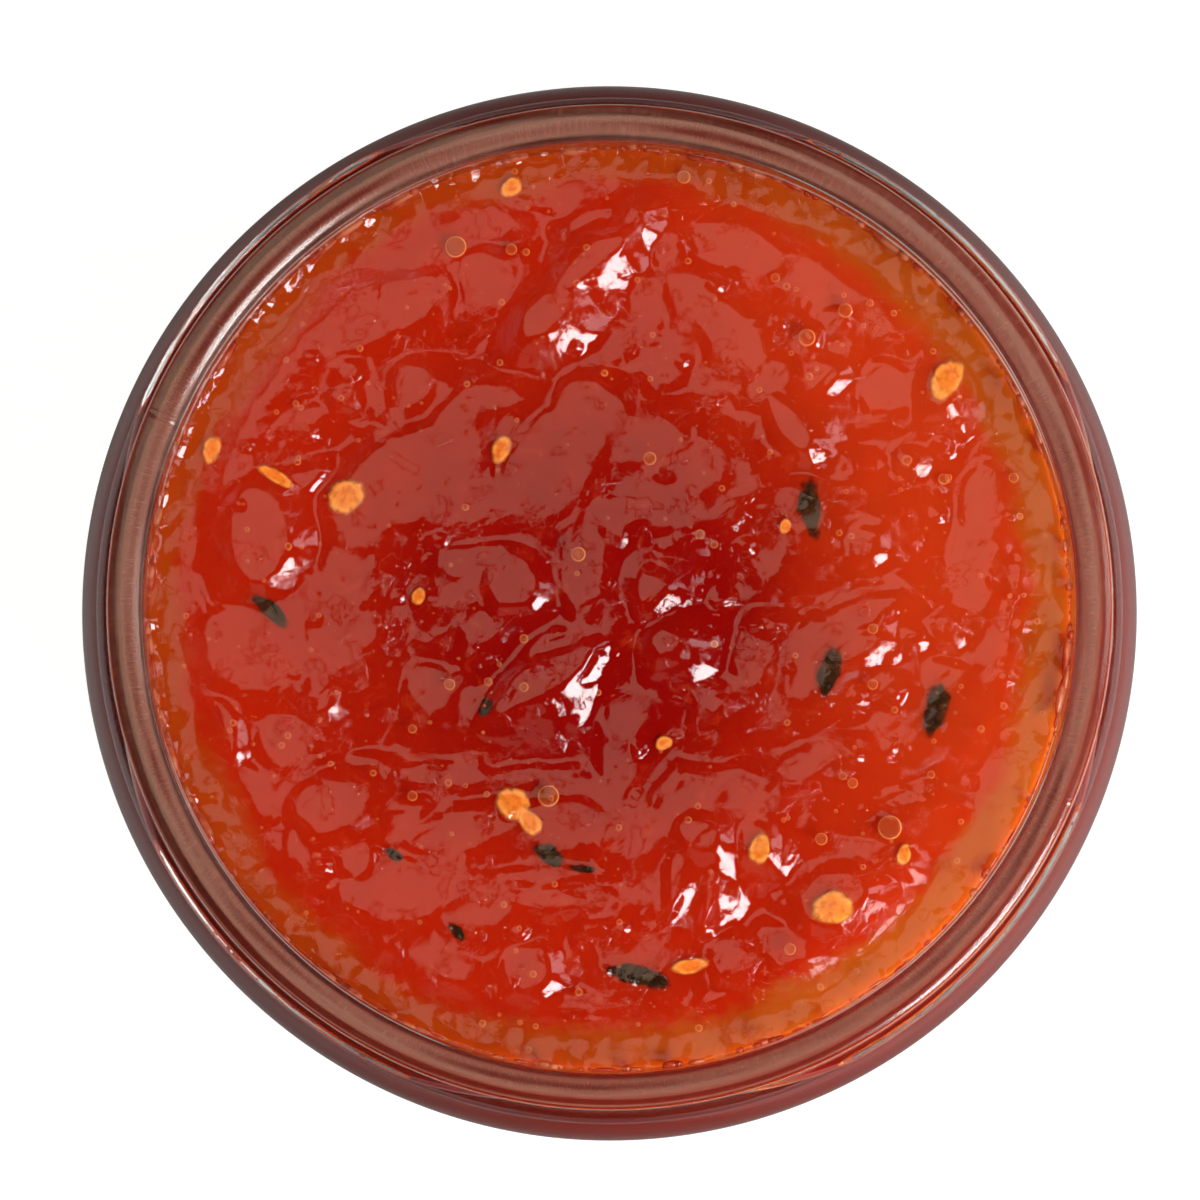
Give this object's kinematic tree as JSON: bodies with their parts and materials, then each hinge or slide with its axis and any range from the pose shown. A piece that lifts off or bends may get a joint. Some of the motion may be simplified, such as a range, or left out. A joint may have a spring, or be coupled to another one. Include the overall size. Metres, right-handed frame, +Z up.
{
  "type": "jar of tomato jam",
  "caption": "Open round glass jar with a threaded neck, filled almost to the lip with glossy, lumpy red tomato jam with seeds and herb leaves; stands on its base.",
  "frame": {"origin": "centre of the foot ring, on the surface that the jar stands on", "axes": "+Z up along the jar's axis; +Y towards the back and +X to the right of the view from above"},
  "size_m": [0.0756, 0.0756, 0.088],
  "materials": {
    "glass": "clear, fire-polished",
    "jam": "wet, high gloss"
  },
  "bodies": {
    "root": {"glass_jar": "glass", "jam": "jam"}
  },
  "joints": []
}
